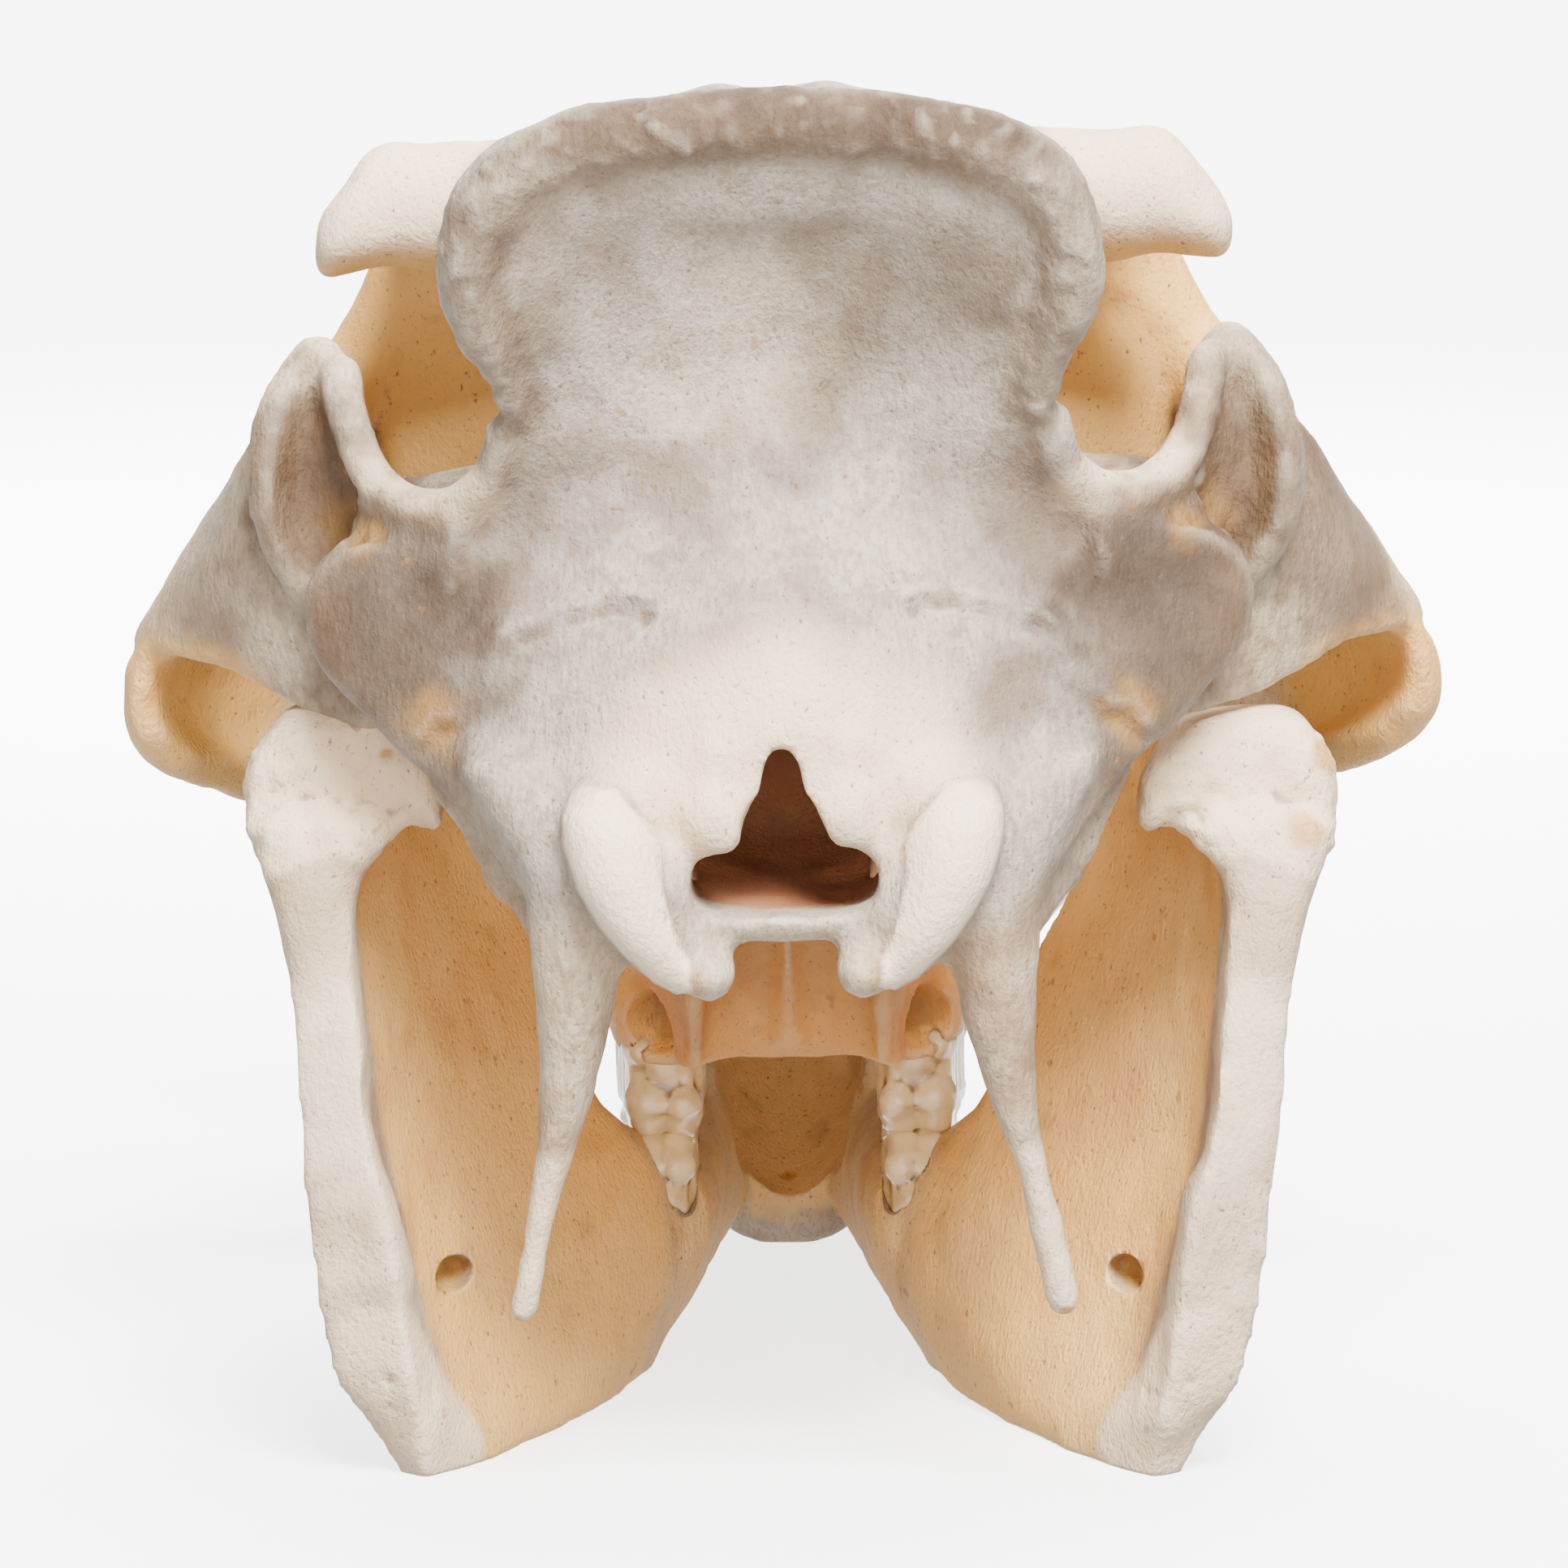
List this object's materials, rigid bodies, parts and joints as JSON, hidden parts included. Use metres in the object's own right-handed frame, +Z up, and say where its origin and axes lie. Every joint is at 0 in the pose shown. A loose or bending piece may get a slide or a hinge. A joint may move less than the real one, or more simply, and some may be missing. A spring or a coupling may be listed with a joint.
{
  "type": "warthog skull",
  "caption": "Warthog skull on its lower jaw, with curved tusks, a concave rear shield, flared cheek arches and two long spikes below the skull base.",
  "frame": {"origin": "on the floor, under the middle of the skull's whole outline", "axes": "+Z up, -Y towards the snout, +X towards the animal's left"},
  "size_m": [0.2094, 0.3542, 0.2182],
  "materials": {
    "bone": "dry, matte bone, stands in as unglazed ceramic",
    "ivory": "smooth, satin tooth ivory, stands in as unglazed ceramic"
  },
  "bodies": {
    "root": {"cranium": "bone", "mandible": "bone", "upper_tusk_left": "ivory", "upper_tusk_right": "ivory", "upper_cheek_teeth_left": "ivory", "upper_cheek_teeth_right": "ivory", "lower_tusk_left": "ivory", "lower_tusk_right": "ivory", "lower_cheek_teeth_left": "ivory", "lower_cheek_teeth_right": "ivory", "upper_incisors": "ivory", "lower_incisors": "ivory"}
  },
  "joints": []
}
